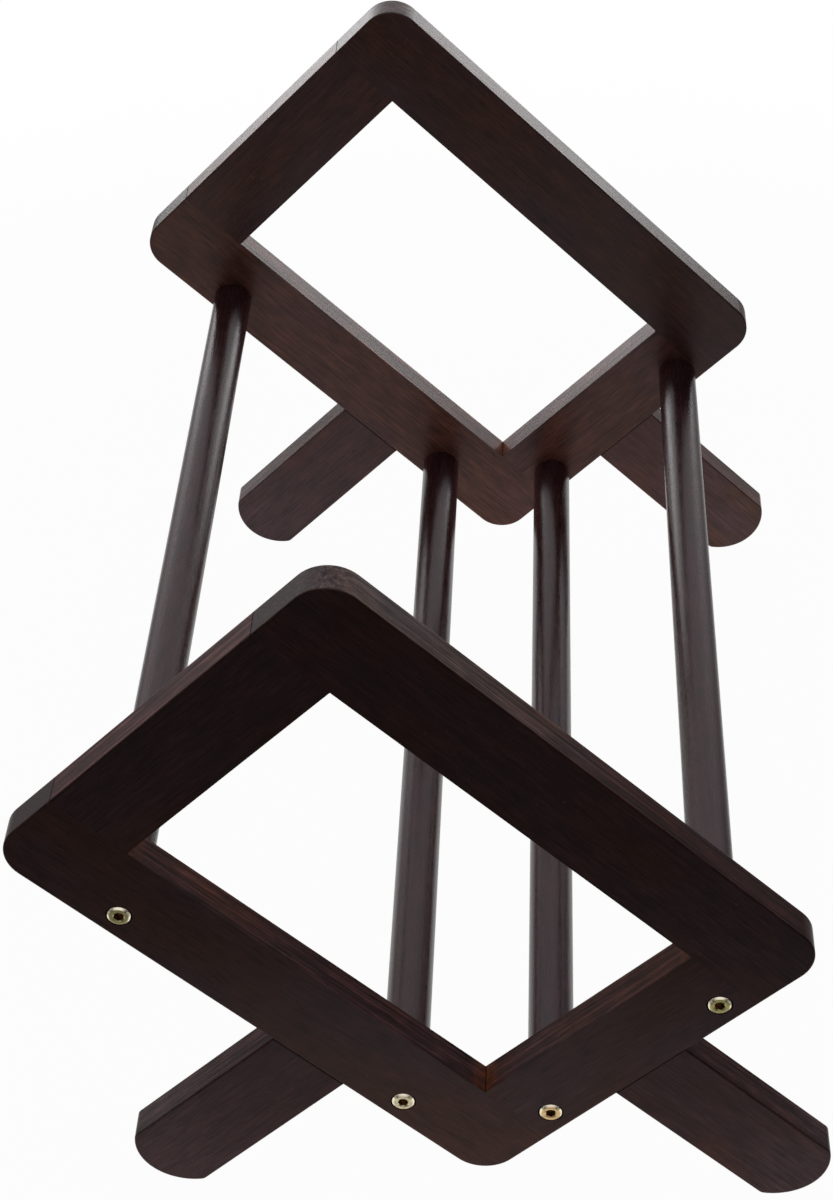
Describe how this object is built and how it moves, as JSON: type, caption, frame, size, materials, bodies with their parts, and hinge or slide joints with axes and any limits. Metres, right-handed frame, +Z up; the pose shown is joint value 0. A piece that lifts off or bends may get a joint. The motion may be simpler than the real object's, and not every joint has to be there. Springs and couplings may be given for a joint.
{
  "type": "book stand",
  "caption": "Wooden book stand: tilted rectangular end frames on short legs, joined by bolted round rods that form a V-shaped trough for books.",
  "frame": {"origin": "on the floor, at the middle of the stand's outline seen from above", "axes": "+Z up; Y along the rods, with the front end frame at -Y; +X to the right seen from the front"},
  "size_m": [0.3396, 0.4806, 0.3351],
  "materials": {
    "stained_wood": "dark brown stain under a thin satin lacquer, straight fine grain",
    "stained_rod_wood": "dark brown stain under a glossier lacquer, grain along the rod",
    "plated_bolt": "steel with pale yellow plating, bevelled bright rim",
    "insert_metal": "turned, hidden",
    "dowel_wood": "raw hardwood, hidden"
  },
  "bodies": {
    "root": {"front_lower_long_bar": "stained_wood", "front_upper_long_bar": "stained_wood", "front_lower_short_bar": "stained_wood", "front_upper_short_bar": "stained_wood", "front_left_leg": "stained_wood", "front_right_leg": "stained_wood", "rear_lower_long_bar": "stained_wood", "rear_upper_long_bar": "stained_wood", "rear_lower_short_bar": "stained_wood", "rear_upper_short_bar": "stained_wood", "rear_left_leg": "stained_wood", "rear_right_leg": "stained_wood", "left_lower_rod": "stained_rod_wood", "left_upper_rod": "stained_rod_wood", "right_lower_rod": "stained_rod_wood", "right_upper_rod": "stained_rod_wood", "front_bolts": "plated_bolt", "front_rod_inserts": "insert_metal", "front_corner_dowels": "dowel_wood", "front_leg_dowels": "dowel_wood", "rear_bolts": "plated_bolt", "rear_rod_inserts": "insert_metal", "rear_corner_dowels": "dowel_wood", "rear_leg_dowels": "dowel_wood"}
  },
  "joints": []
}
